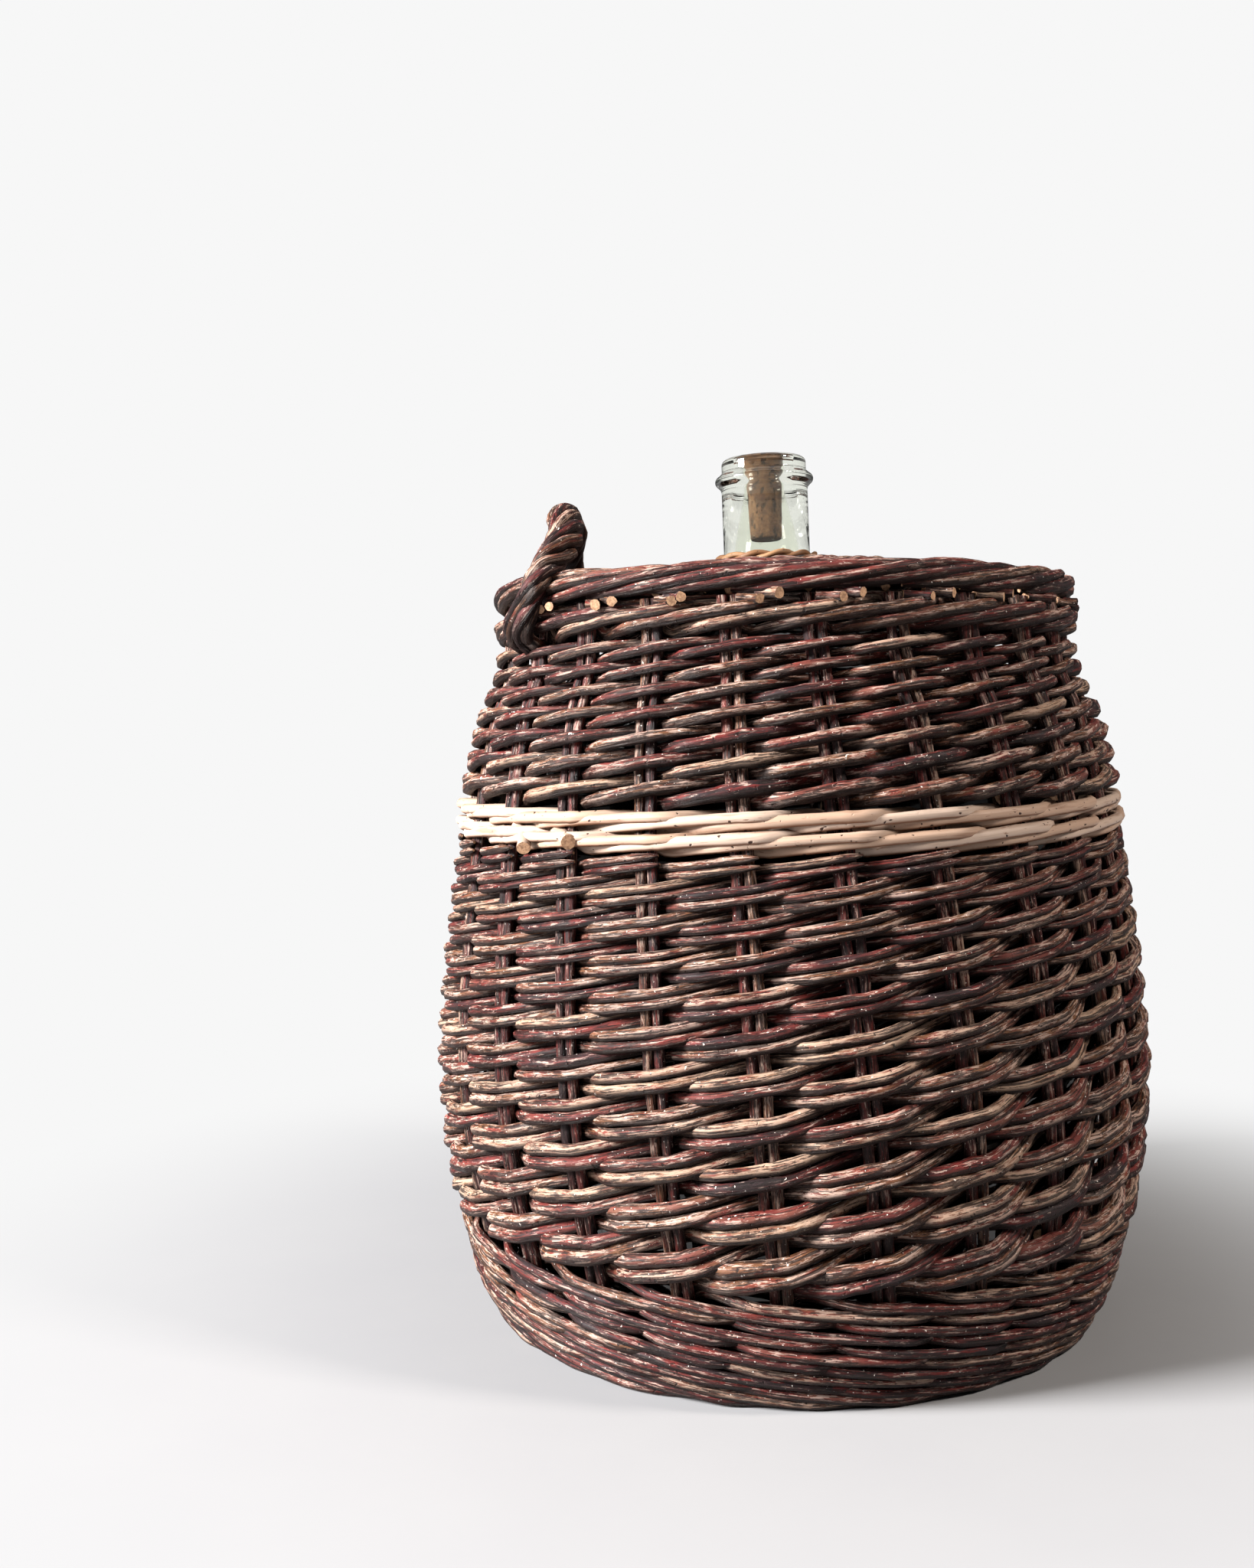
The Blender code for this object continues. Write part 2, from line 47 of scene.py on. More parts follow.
basket = {
    # height and outer radius of the wall
    "outside": [(0, 0.170), (0.0305, 0.184), (0.138, 0.200), (0.2787, 0.186), (0.330, 0.1755),
                (0.360, 0.1645), (0.3916, 0.1615)],
    "stakes": 24,
    "stakeInset": 0.0078,
    "stakeThickness": 0.0045,
    "twist": 10,
    "rim": 0.407,
    "slew": (0.0584, 0.2690),
    "cream": (0.2690, 0.2884),
    "rand": (0.2884, 0.3740),
    "topWale": (0.3740, 0.3885),
}


def curveThrough(knots):
    # a smooth line through the knots that never overshoots them
    xs = [knot[0] for knot in knots]
    ys = [knot[1] for knot in knots]
    rise = [(ys[i + 1] - ys[i]) / (xs[i + 1] - xs[i]) for i in range(len(xs) - 1)]
    slope = [rise[0]] + [0] * (len(xs) - 2) + [rise[-1]]
    for i in range(1, len(xs) - 1):
        if rise[i - 1] * rise[i] > 0:
            slope[i] = 2 * rise[i - 1] * rise[i] / (rise[i - 1] + rise[i])

    def value(at):
        i = 0
        while i < len(xs) - 2 and at > xs[i + 1]:
            i += 1
        step = xs[i + 1] - xs[i]
        t = (at - xs[i]) / step
        ends = ys[i] * (2 * t ** 3 - 3 * t ** 2 + 1) + ys[i + 1] * (3 * t ** 2 - 2 * t ** 3)
        bends = slope[i] * (t ** 3 - 2 * t ** 2 + t) + slope[i + 1] * (t ** 3 - t ** 2)
        return ends + step * bends

    return value


outsideRadius = curveThrough(basket["outside"])
stakeStep = math.tau / basket["stakes"]


def stakeCircle(z):
    return outsideRadius(z) - basket["stakeInset"]


def stakeTurn(z):
    return math.radians(basket["twist"]) * (1 - z / basket["rim"])


def polar(radius, angle, z):
    return Vector((radius * math.cos(angle), radius * math.sin(angle), z))


def ease(t):
    t = min(1, max(0, t))
    return t * t * (3 - 2 * t)


def lineThrough(points, steps):
    # a smooth open line through the points
    line = []
    for i in range(len(points) - 1):
        before = points[max(i - 1, 0)]
        start = points[i]
        end = points[i + 1]
        after = points[min(i + 2, len(points) - 1)]
        for k in range(steps):
            t = k / steps
            bend = 2 * before - 5 * start + 4 * end - after
            turn = 3 * start - before - 3 * end + after
            line.append(0.5 * (2 * start + (end - before) * t + bend * t ** 2 + turn * t ** 3))
    line.append(points[-1].copy())
    return line


# Shader nodes, written as sums

class Wire:
    def __init__(self, tree, socket=None):
        self.tree = tree
        self.socket = socket

    def node(self, kind, settings=None, inputs=None, output=0):
        made = self.tree.nodes.new(kind)
        for key, value in (settings or {}).items():
            if key == "stops":
                ramp = made.color_ramp
                while len(ramp.elements) < len(value):
                    ramp.elements.new(0.5)
                for element, (place, colour) in zip(ramp.elements, value):
                    element.position = place
                    element.color = colour
            else:
                setattr(made, key, value)
        for key, value in (inputs or {}).items():
            if isinstance(value, Wire):
                self.tree.links.new(value.socket, made.inputs[key])
            else:
                made.inputs[key].default_value = value
        return Wire(self.tree, made.outputs[output])

    def sum(self, operation, first, second=0.0):
        return self.node("ShaderNodeMath", {"operation": operation}, {0: first, 1: second})

    def __add__(self, other):
        return self.sum("ADD", self, other)

    def __radd__(self, other):
        return self.sum("ADD", other, self)

    def __sub__(self, other):
        return self.sum("SUBTRACT", self, other)

    def __rsub__(self, other):
        return self.sum("SUBTRACT", other, self)

    def __mul__(self, other):
        return self.sum("MULTIPLY", self, other)

    def __rmul__(self, other):
        return self.sum("MULTIPLY", other, self)

    def above(self, edge, softness):
        # 0 under the edge, 1 over it
        return self.node("ShaderNodeMapRange", {"interpolation_type": "SMOOTHSTEP"},
                         {"Value": self, "From Min": edge - softness, "From Max": edge + softness})

    def blend(self, factor, first, second):
        # 6 and 7 are the sockets that take colours, and 2 the one that gives a colour
        return self.node("ShaderNodeMix", {"data_type": "RGBA"}, {"Factor": factor, 6: first, 7: second}, 2)

    def noise(self, place, scale, detail=3, rough=0.5):
        return self.node("ShaderNodeTexNoise", None,
                         {"Vector": place, "Scale": scale, "Detail": detail, "Roughness": rough})

    def stretched(self, place, scale, shift=(0, 0, 0)):
        return self.node("ShaderNodeMapping", None, {"Vector": place, "Scale": scale, "Location": shift})


def tint(red, green, blue):
    # screen colours to the linear ones that shaders take
    parts = []
    for part in (red, green, blue):
        share = part / 255
        parts.append(share / 12.92 if share <= 0.04045 else ((share + 0.055) / 1.055) ** 2.4)
    return (*parts, 1)


def newMaterial(name):
    material = bpy.data.materials.new(name)
    material.use_nodes = True
    tree = material.node_tree
    shader = tree.nodes["Principled BSDF"]
    return material, Wire(tree), shader


def plug(wire, shader, name):
    wire.tree.links.new(wire.socket, shader.inputs[name])


def bumped(wire, height, strength, distance):
    return wire.node("ShaderNodeBump", None, {"Height": height, "Strength": strength, "Distance": distance})


bark = {
    "tones": [(0.0, tint(48, 32, 34)), (0.18, tint(104, 40, 35)), (0.36, tint(118, 72, 60)),
              (0.54, tint(112, 74, 48)), (0.70, tint(88, 36, 30)), (0.85, tint(136, 98, 78)),
              (1.0, tint(138, 102, 76))],
    "dark": tint(16, 6, 4),
    "film": tint(216, 187, 172),
    "tanFilm": tint(200, 170, 148),
    "red": tint(122, 38, 33),
    "fleck": tint(244, 234, 224),
    "roughness": 0.46,
    # each layer of noise: how fine it is along and round the rod, its shift, detail and roughness
    "layers": {
        "fibres": ((36, 3.0, 3.0), (0, 0, 0), 4, 0.62),
        "wrinkles": ((120, 1.9, 1.9), (1, 6, 3), 5, 0.72),
        "film": ((125, 2.3, 2.3), (4, 8, 2), 5, 0.72),
        "patches": ((34, 0.55, 0.55), (0, 0, 0), 3, 0.55),
        "peels": ((66, 0.85, 0.85), (7, 3, 1), 3, 0.6),
        "flecks": ((620, 1.9, 1.9), (3, 9, 4), 1, 0.5),
        "pits": ((430, 1.5, 1.5), (11, 2, 5), 1, 0.5),
    },
}


def barkMaterial():
    material, wire, shader = newMaterial("brownWillow")
    grain = wire.node("ShaderNodeAttribute", {"attribute_name": "grain"}, None, "Vector")
    tone = wire.node("ShaderNodeAttribute", {"attribute_name": "tone"}, None, "Fac")
    # painted shade: this mask of each rod's upper side leaves its underside to be darkened below
    upper = wire.node("ShaderNodeAttribute", {"attribute_name": "upper"}, None, "Fac").above(0.04, 0.56)
    fibres, wrinkles, film, patches, peels, flecks, pits = (
        wire.noise(wire.stretched(grain, scale, shift), 1.0, detail, rough)
        for scale, shift, detail, rough in bark["layers"].values())
    base = wire.node("ShaderNodeValToRGB", {"stops": bark["tones"]},
                     {"Fac": tone * 0.90 + patches * 0.9 - 0.40})
    colour = wire.blend(peels.above(0.585, 0.02) * 0.60, base, bark["red"])
    # the outer skin has dried pale, pinkish on some rods and tan on others
    skin = wire.blend((tone * 0.6 + wrinkles * 0.5).above(0.66, 0.14), bark["film"], bark["tanFilm"])
    colour = wire.blend((film * 0.75 + patches * 0.30 + tone * 0.09).above(0.586, 0.022) * 0.66, colour, skin)
    cracks = 1 - (fibres * 0.6 + wrinkles * 0.4).above(0.488, 0.022)
    colour = wire.blend(cracks * 0.88, colour, bark["dark"])
    colour = wire.blend(pits.above(0.735, 0.02) * 0.85, colour, bark["dark"])
    colour = wire.blend(flecks.above(0.745, 0.012) * 0.9, colour, bark["fleck"])
    # painted shade: the underside of each rod is darkened nearly to black
    colour = wire.blend((1 - upper) * 0.95, colour, bark["dark"])
    plug(colour, shader, "Base Color")
    plug(bark["roughness"] - 0.14 * film + 0.16 * wrinkles, shader, "Roughness")
    relief = fibres * 0.7 + wrinkles * 0.7 + film * 0.4 - pits.above(0.71, 0.04) * 0.4
    plug(bumped(wire, relief, 1.0, 0.0018), shader, "Normal")
    shader.inputs["Specular IOR Level"].default_value = 0.15
    # the dry skin shines where it faces up, clear of the painted shade on its underside
    plug(upper * film * 0.34, shader, "Coat Weight")
    shader.inputs["Coat Roughness"].default_value = 0.50
    return material


cutWood = {
    "pale": tint(188, 148, 114),
    "rings": tint(124, 84, 58),
    "blotch": tint(78, 50, 34),
}


def cutMaterial():
    material, wire, shader = newMaterial("cutWillow")
    place = wire.node("ShaderNodeTexCoord", None, None, "Object")
    rings = wire.noise(place, 900, 3, 0.6)
    blotch = wire.noise(place, 260, 2, 0.5)
    colour = wire.blend(rings.above(0.52, 0.12) * 0.6, cutWood["pale"], cutWood["rings"])
    colour = wire.blend(blotch.above(0.56, 0.06) * 0.35, colour, cutWood["blotch"])
    plug(colour, shader, "Base Color")
    plug(0.66 + rings * 0.2, shader, "Roughness")
    plug(bumped(wire, rings, 0.4, 0.0005), shader, "Normal")
    return material


peeled = {
    "pale": tint(176, 154, 138),
    "warm": tint(166, 138, 118),
    "brown": tint(104, 66, 42),
    "hole": tint(52, 34, 26),
}
weathered = {
    "pale": tint(146, 110, 78),
    "warm": tint(118, 82, 54),
    "brown": tint(84, 54, 36),
    "hole": tint(44, 30, 22),
}


def peeledMaterial(name, look):
    material, wire, shader = newMaterial(name)
    grain = wire.node("ShaderNodeAttribute", {"attribute_name": "grain"}, None, "Vector")
    tone = wire.node("ShaderNodeAttribute", {"attribute_name": "tone"}, None, "Fac")
    long = wire.noise(wire.stretched(grain, (16, 1.8, 1.8)), 1.0, 3, 0.55)
    fine = wire.noise(wire.stretched(grain, (60, 6, 6)), 1.0, 3, 0.6)
    patch = wire.noise(wire.stretched(grain, (30, 0.6, 0.6), (5, 1, 8)), 1.0, 2, 0.5)
    holes = wire.noise(wire.stretched(grain, (420, 1.3, 1.3), (2, 6, 3)), 1.0, 0, 0.4)
    marks = wire.noise(wire.stretched(grain, (150, 3.2, 3.2), (8, 4, 1)), 1.0, 2, 0.5)
    colour = wire.blend((long * 0.8 + tone * 0.7 - 0.35).above(0.42, 0.26), look["pale"], look["warm"])
    stains = (patch.above(0.63, 0.06) * 0.5, fine.above(0.62, 0.08) * 0.22, marks.above(0.70, 0.02) * 0.7)
    for stain in stains:
        colour = wire.blend(stain, colour, look["brown"])
    # painted shade: the underside of each rod darkens to brown
    upper = wire.node("ShaderNodeAttribute", {"attribute_name": "upper"}, None, "Fac").above(-0.66, 0.22)
    colour = wire.blend((1 - upper) * 0.9, colour, look["brown"])
    colour = wire.blend(holes.above(0.80, 0.012), colour, look["hole"])
    plug(colour, shader, "Base Color")
    plug(0.42 + fine * 0.2, shader, "Roughness")
    plug(bumped(wire, long * 0.4 + fine * 0.35 - holes.above(0.79, 0.03), 0.5, 0.0008), shader, "Normal")
    shader.inputs["Specular IOR Level"].default_value = 0.3
    return material


corkLook = {
    "brown": tint(84, 56, 38),
    "tan": tint(122, 88, 60),
    "seams": tint(58, 38, 26),
    "pits": tint(44, 28, 20),
}


def corkMaterial():
    material, wire, shader = newMaterial("cork")
    place = wire.node("ShaderNodeTexCoord", None, None, "Object")
    grains = wire.node("ShaderNodeTexVoronoi", None, {"Vector": place, "Scale": 620, "Randomness": 1.0})
    cloud = wire.noise(place, 190, 4, 0.6)
    pits = wire.noise(wire.stretched(place, (1, 1, 0.45)), 430, 2, 0.5)
    colour = wire.blend(cloud.above(0.5, 0.16), corkLook["brown"], corkLook["tan"])
    colour = wire.blend(grains.above(0.55, 0.2) * 0.35, colour, corkLook["seams"])
    colour = wire.blend(pits.above(0.61, 0.03) * 0.9, colour, corkLook["pits"])
    plug(colour, shader, "Base Color")
    plug(0.78 + cloud * 0.15, shader, "Roughness")
    plug(bumped(wire, cloud * 0.4 - pits.above(0.6, 0.04), 0.7, 0.0010), shader, "Normal")
    return material


glassLook = {
    "clear": (0.87, 0.89, 0.81, 1),
    # painted shade for the glass inside the basket
    "paintedShade": (0.02, 0.022, 0.02, 1),
    "coverTop": 0.395,
}


def glassMaterial():
    material, wire, shader = newMaterial("greenGlass")
    place = wire.node("ShaderNodeTexCoord", None, None, "Object")
    ripple = wire.noise(wire.stretched(place, (1, 1, 0.16)), 90, 2, 0.45)
    seeds = wire.noise(place, 700, 1, 0.5)
    # painted shade: under the cover the glass is coloured near black, for the dark inside the basket
    height = wire.node("ShaderNodeSeparateXYZ", None, {"Vector": place}, "Z")
    colour = wire.blend(height.above(glassLook["coverTop"], 0.012), glassLook["paintedShade"], glassLook["clear"])
    plug(colour, shader, "Base Color")
    shader.inputs["Transmission Weight"].default_value = 1.0
    shader.inputs["IOR"].default_value = 1.5
    plug(0.012 + seeds.above(0.72, 0.02) * 0.08, shader, "Roughness")
    plug(bumped(wire, ripple + seeds.above(0.72, 0.03) * 0.1, 0.2, 0.0012), shader, "Normal")
    return material


willow = barkMaterial()
cutEnd = cutMaterial()
peeledWillow = peeledMaterial("peeledWillow", peeled)
ringWillow = peeledMaterial("paleWillow", weathered)
corkBark = corkMaterial()
greenGlass = glassMaterial()
print("materials made")


# Rods: each one a line with its thickness and its tone along it

# low ridges along each rod: how fine they are along and round it, and their height as a share of its radius
ridge = {
    "along": 55,
    "around": 1.2,
    "height": 0.26,
}


def newRod(points, radius, dice, tones=None, ring=False, starts=0, ends=0, rough=0.035):
    # starts and ends are how many points the rod takes to swell from, and thin to, its tips
    # rough is how much its thickness varies, and a few knots stand out by more
    radii = []
    knots = [dice.randrange(len(points)) for _ in range(max(1, len(points) // 16))]
    for i in range(len(points)):
        size = radius[i] if isinstance(radius, list) else radius
        size *= 1 + dice.uniform(-rough, rough)
        if i in knots:
            size *= 1 + 2.4 * rough
        if starts and i < starts:
            size *= 0.35 + 0.65 * math.sin(math.pi / 2 * i / starts)
        if ends and i > len(points) - 1 - ends:
            size *= 0.35 + 0.65 * math.sin(math.pi / 2 * (len(points) - 1 - i) / ends)
        radii.append(size)
    tone = dice.random()
    return {"points": points, "radii": radii, "tones": tones or [tone] * len(points), "ring": ring,
            "seed": dice.uniform(0, 40)}


def rodPiece(name, rods, materials, nodes, sides=3, gnarl=ridge["height"]):
    # gnarl ridges and flattens each rod along its length, as dried bark does
    curve = bpy.data.curves.new(name, "CURVE")
    curve.dimensions = "3D"
    curve.bevel_depth = 1
    curve.bevel_resolution = sides
    curve.twist_mode = "MINIMUM"
    for rod in rods:
        spline = curve.splines.new("POLY")
        spline.points.add(len(rod["points"]) - 1)
        spline.use_cyclic_u = rod["ring"]
        spline.use_smooth = True
        for point, co, size in zip(spline.points, rod["points"], rod["radii"]):
            point.co = (*co, 1)
            point.radius = size
    draft = bpy.data.objects.new(name + "Draft", curve)
    bpy.context.scene.collection.objects.link(draft)
    graph = bpy.context.evaluated_depsgraph_get()
    mesh = bpy.data.meshes.new_from_object(draft.evaluated_get(graph))
    bpy.data.objects.remove(draft)
    around = len(mesh.vertices) // sum(len(rod["points"]) for rod in rods)
    grain = []
    tones = []
    # how high each point sits round its rod, which the materials use for painted shade on the underside
    upper = []
    for rod in rods:
        along = rod["seed"]
        last = rod["points"][0]
        for co, tone, size in zip(rod["points"], rod["tones"], rod["radii"]):
            along += (co - last).length
            last = co
            for k in range(around):
                turn = math.tau * k / around
                grain += [along, math.cos(turn) + rod["seed"], math.sin(turn)]
                vertex = mesh.vertices[len(tones)]
                upper.append((vertex.co.z - co.z) / size)
                tones.append(tone)
                place = Vector((along * ridge["along"], math.cos(turn) * ridge["around"] + rod["seed"],
                                math.sin(turn) * ridge["around"]))
                vertex.co += (vertex.co - co) * gnarl * noise.noise(place)
    mesh.attributes.new("grain", "FLOAT_VECTOR", "POINT").data.foreach_set("vector", grain)
    mesh.attributes.new("tone", "FLOAT", "POINT").data.foreach_set("value", tones)
    mesh.attributes.new("upper", "FLOAT", "POINT").data.foreach_set("value", upper)
    for material in materials:
        mesh.materials.append(material)
    # the open tips are closed with flat cut faces
    shape = bmesh.new()
    shape.from_mesh(mesh)
    for face in shape.faces:
        face.smooth = True
    tips = [edge for edge in shape.edges if edge.is_boundary]
    for face in bmesh.ops.holes_fill(shape, edges=tips, sides=0)["faces"]:
        face.smooth = False
        face.material_index = 1
    bmesh.ops.recalc_face_normals(shape, faces=shape.faces)
    shape.to_mesh(mesh)
    shape.free()
    addPiece(name, mesh, nodes)


def addPiece(name, mesh, nodes, body="basket"):
    piece = bpy.data.objects.new(name, mesh)
    bpy.context.scene.collection.objects.link(piece)
    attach(piece, body)
    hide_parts(*nodes)


# Stakes and the sticks of the base, in pairs

stakePair = {
    "radius": 0.0028,
    "apart": 0.0062,
    "stickHeight": 0.0090,
    "hubReach": 0.012,
    "top": 0.3940,
    "wander": 0.0004,
    # where the sticks turn up into the wall
    "bend": 0.011,
    "bendInset": 0.012,
    "bendCircle": 0.02,
    "bendTurn": 0.019,
    "straight": 0.013,
    "pointStep": 0.009,
}


def buildStakes():
    dice = random.Random(3)
    rods = []
    for i in range(basket["stakes"]):
        turn = i * stakeStep
        footTurn = turn + stakeTurn(stakePair["bendTurn"])
        for side in (-1, 1):
            shift = side * stakePair["apart"] / 2
            points = []
            reach = stakeCircle(stakePair["bendCircle"]) - stakePair["bendInset"]
            low = stakePair["stickHeight"]
            out = Vector((math.cos(footTurn), math.sin(footTurn), 0))
            across = Vector((-out.y, out.x, 0))
            for k in range(9):
                share = k / 8
                away = stakePair["hubReach"] + share * (reach - stakePair["hubReach"])
                points.append(out * away + across * shift + Vector((0, 0, low)))
            for k in range(1, 5):
                bend = math.pi / 2 * k / 5
                away = reach + stakePair["bend"] * math.sin(bend)
                rise = low + stakePair["bend"] * (1 - math.cos(bend))
                points.append(out * away + across * shift + Vector((0, 0, rise)))
            z = low + stakePair["straight"]
            while z < stakePair["top"]:
                radius = stakeCircle(min(z, basket["outside"][-1][0]))
                wander = dice.uniform(-1, 1) * stakePair["wander"]
                angle = turn + stakeTurn(z) + (shift + wander) / radius
                points.append(polar(radius + wander * 0.5, angle, z))
                z += stakePair["pointStep"]
            dark = dice.choice((0.03, 0.12, 0.2, 0.68, 0.74))
            rods.append(newRod(points, stakePair["radius"], dice, [dark] * len(points)))
    rodPiece("stakeCage", rods, [willow, cutEnd], ["stake_cage"], 2)


buildStakes()
print("stakes stand")


# Randing: pairs of rods in the lower wall, single rods in the upper wall

slewing = {
    "zone": basket["slew"],
    "crossings": 22,
    "taper": 0.56,
    "perWeaver": 2,
    "push": [(0.0, 0.13), (0.4, 0.09), (1.0, 0.05)],
    "pushRight": [(0.0, 0.18), (0.4, 0.15), (1.0, 0.05)],
    "fill": 1.20,
}
randing = {
    "zone": basket["rand"],
    "crossings": 15,
    "taper": 0.72,
    "perWeaver": 1,
    "push": [(0.0, -0.10), (0.5, -0.14), (1.0, -0.14)],
    "pushRight": [(0.0, 0.0), (1.0, 0.0)],
    "fill": 1.05,
}
# shares of the way from one stake to the next, closest where a rod bends
subSteps = (0.0, 0.06, 0.11, 0.18, 0.28, 0.4, 0.54, 0.68, 0.8, 0.9)
kink = 0.10
# the right side of the wall, in degrees round from the camera, where the strokes climb most
steepAt = 42
steepWidth = 30


def rowCells(zone, count, taper):
    heights = [taper ** (i / (count - 1)) for i in range(count)]
    scale = (zone[1] - zone[0]) / sum(heights)
    heights = [height * scale for height in heights]
    centres = []
    z = zone[0]
    for height in heights:
        centres.append(z + height / 2)
        z += height
    return centres, heights


def weaverRods(look, start, dice):
    centres, cells = rowCells(look["zone"], look["crossings"], look["taper"])
    push = curveThrough(look["push"])
    pushRight = curveThrough(look["pushRight"])
    count = look["crossings"]
    heights = []
    for k, (z, cell) in enumerate(zip(centres, cells)):
        # the strokes lie low over their stake and high behind the next, most of all on the right
        share = k / (count - 1)
        azimuth = (math.degrees((k + start) * stakeStep + stakeTurn(z)) - 270 - steepAt + 180) % 360 - 180
        right = math.exp(-(azimuth / steepWidth) ** 2)
        shift = (push(share) + right * pushRight(share) + dice.uniform(-0.05, 0.05)) * cell
        heights.append(z - shift if k % 2 else z + shift)
    heights.append(heights[-1] + 0.9 * cells[-1])
    middle = []
    sizes = []
    for k in range(count):
        last = k == count - 1
        cell = cells[k]
        front = k % 2
        for u in subSteps[:4] if last else subSteps:
            # straight from stake to stake, with a bend just past each one
            if u < kink and k > 0:
                z = heights[k - 1] + (heights[k] - heights[k - 1]) * (1 + u - kink)
            else:
                z = heights[k] + (heights[k + 1] - heights[k]) * max(0, u - kink)
            z = max(z, look["zone"][0] + 0.3 * cell)
            # 1 is in front of the stakes and -1 behind them
            reach = 1 - 2 * ease((u - 0.10) / 0.80) if front else 2 * ease((u - 0.07) / 0.52) - 1
            rodRadius = cell * look["fill"] / 2 / look["perWeaver"]
            offset = stakePair["radius"] + rodRadius * 0.92
            middle.append(polar(stakeCircle(z) + reach * offset,
                                (k + u + start) * stakeStep + stakeTurn(z), z))
            sizes.append(rodRadius)
    rods = []
    for n in range(look["perWeaver"]):
        points = []
        lean = dice.uniform(-0.14, 0.14)
        thick = dice.uniform(0.90, 1.05)
        for i, co in enumerate(middle):
            ahead = middle[min(i + 1, len(middle) - 1)] - middle[max(i - 1, 0)]
            out = Vector((co.x, co.y, 0)).normalized()
            up = out.cross(ahead).normalized()
            side = (n - (look["perWeaver"] - 1) / 2) * 2
            wobble = 0.00028 * math.sin(i * 0.7 + n * 2 + start)
            points.append(co + up * side * sizes[i] + out * (side * lean * sizes[i] + wobble))
        tones = toneRun(len(points), 2 * len(subSteps), dice, 0.22)
        rods.append(newRod(points, [size * thick for size in sizes], dice, tones, ends=3, rough=0.05))
    return rods


def toneRun(count, every, dice, drift):
    # a rod's own tone, drifting from stroke to stroke
    base = dice.random()
    tones = []
    value = base
    for i in range(count):
        if i % every == 0:
            value = min(1, max(0, base + dice.uniform(-drift, drift)))
        tones.append(value)
    return tones


def buildRanding(prefix, nodePrefix, look, seed):
    dice = random.Random(seed)
    for i in range(basket["stakes"]):
        rods = weaverRods(look, i, dice)
        node = f"{nodePrefix}_{i + 1:02d}"
        rodPiece(f"{prefix}{i + 1:02d}", rods, [willow, cutEnd], [node])


buildRanding("slewPair", "slew_pair", slewing, 11)
buildRanding("randRod", "rand_rod", randing, 23)
print("wall woven")


# Waling: three rods that take turns behind every third stake

footWale = {
    "rows": 5,
    "zone": (0.0006, 0.0584),
    "radius": 0.0026,
    "step": -0.0053,
    "curl": 0.0,
    "stack": 0.0,
    "outsideBelow": 0.024,
    "tones": (0.0, 0.06, 0.1, 0.2, 0.26, 0.5, 0.56, 0.7, 0.76),
}
creamWale = {
    # each cut end under the band: degrees round, height, radius, then how far it drops, stands out and runs
    "butts": [(-138, 0.2790, 0.0034, -0.010, 0.009, 0.017), (-128.5, 0.2765, 0.0036, -0.003, 0.008, 0.016)],
    "buttGap": 0.003,
    "rows": 1,
    "radius": 0.0028,
    "step": 0.0034,
    "curl": 0.9,
    "stack": -0.0060,
    "outsideBelow": 0,
    "tones": (0.0, 0.2, 0.4, 0.6, 0.8, 1.0),
}
topWale = {
    "rows": 1,
    "zone": basket["topWale"],
    "radius": 0.0032,
    "step": 0.0056,
    "curl": 0.3,
    "stack": -0.0030,
    "outsideBelow": 0,
    "tones": (0.04, 0.14, 0.3, 0.5, 0.6, 0.74, 0.9),
}


def waleRods(look, zone, phase, dice):
    rods = []
    height = (zone[1] - zone[0]) / look["rows"]
    stakes = basket["stakes"]
    for row in range(look["rows"]):
        middle = zone[0] + height * (row + 0.5)
        for strand in range(3):
            points = []
            tones = []
            tone = dice.choice(look["tones"])
            wander = [dice.uniform(-0.0006, 0.0006) for _ in range(stakes)]
            for s in range(stakes):
                for u in subSteps:
                    # w runs from 0 to 3: in front of two stakes, then behind the third
                    w = (s + u + strand + row + phase) % 3
                    side = ease((w - 0.16) / 0.68) - ease((w - 2.16) / 0.68)
                    reach = 2 * side - 1
                    if middle < look["outsideBelow"]:
                        reach = 0.72 + 0.28 * reach
                    t = (w - 0.25) / 2.5
                    if t < 0 or t > 1:
                        back = (w - 2.75) % 3 / 0.5
                        g = 0.5 - ease(back)
                    else:
                        g = t - 0.5 + look["curl"] * (t - t * t)
                    if w < 1 / 8 and u < 0.05:
                        tone = dice.choice(look["tones"])
                    z = middle + look["step"] * 2.4 * g - look["step"] * look["curl"] * 0.4
                    z += wander[s] * (1 - u) + wander[(s + 1) % stakes] * u
                    z = max(z, look["radius"] + 0.0003)
                    offset = basket["stakeThickness"] / 2 + look["radius"] + 0.0005
                    lap = look["stack"] * min(0.5, max(-0.5, 0.5 - t)) * side
                    angle = (s + u) * stakeStep + stakeTurn(z)
                    points.append(polar(stakeCircle(z) + reach * offset + lap, angle, z))
                    tones.append(tone)
            rods.append(newRod(points, look["radius"] * dice.uniform(0.9, 1.08), dice, tones, ring=True))
    return rods


def buttEnd(angle, z, radius, drop, out, along, dice):
    # the thick end of a rod, left standing out under its row
    reach = stakeCircle(z) + creamWale["buttGap"]
    points = []
    for t in (0, 0.2, 0.4, 0.6, 0.8, 1):
        points.append(polar(reach + out * t * t, angle + along / reach * (t - 1), z + drop * t))
    return newRod(points, radius, dice)


def buildWales():
    dice = random.Random(41)
    rodPiece("footWale", waleRods(footWale, footWale["zone"], 0, dice), [willow, cutEnd], ["foot_wale"])
    low, high = basket["cream"]
    middle = (low + high) / 2
    lower = waleRods(creamWale, (low, middle), 0, dice)
    for turn, *sizes in creamWale["butts"]:
        lower.append(buttEnd(math.radians(turn), *sizes, dice))
    rodPiece("creamWaleLower", lower, [peeledWillow, cutEnd], ["cream_wale_lower"], 3, 0.12)
    upper = waleRods(creamWale, (middle, high), 1, dice)
    rodPiece("creamWaleUpper", upper, [peeledWillow, cutEnd], ["cream_wale_upper"], 3, 0.12)
    rodPiece("topWale", waleRods(topWale, topWale["zone"], 0, dice), [willow, cutEnd], ["top_wale"])


buildWales()
print("wales laid")


# Border: each pair of stakes turns down to the right over a core, and is cut off under the roll

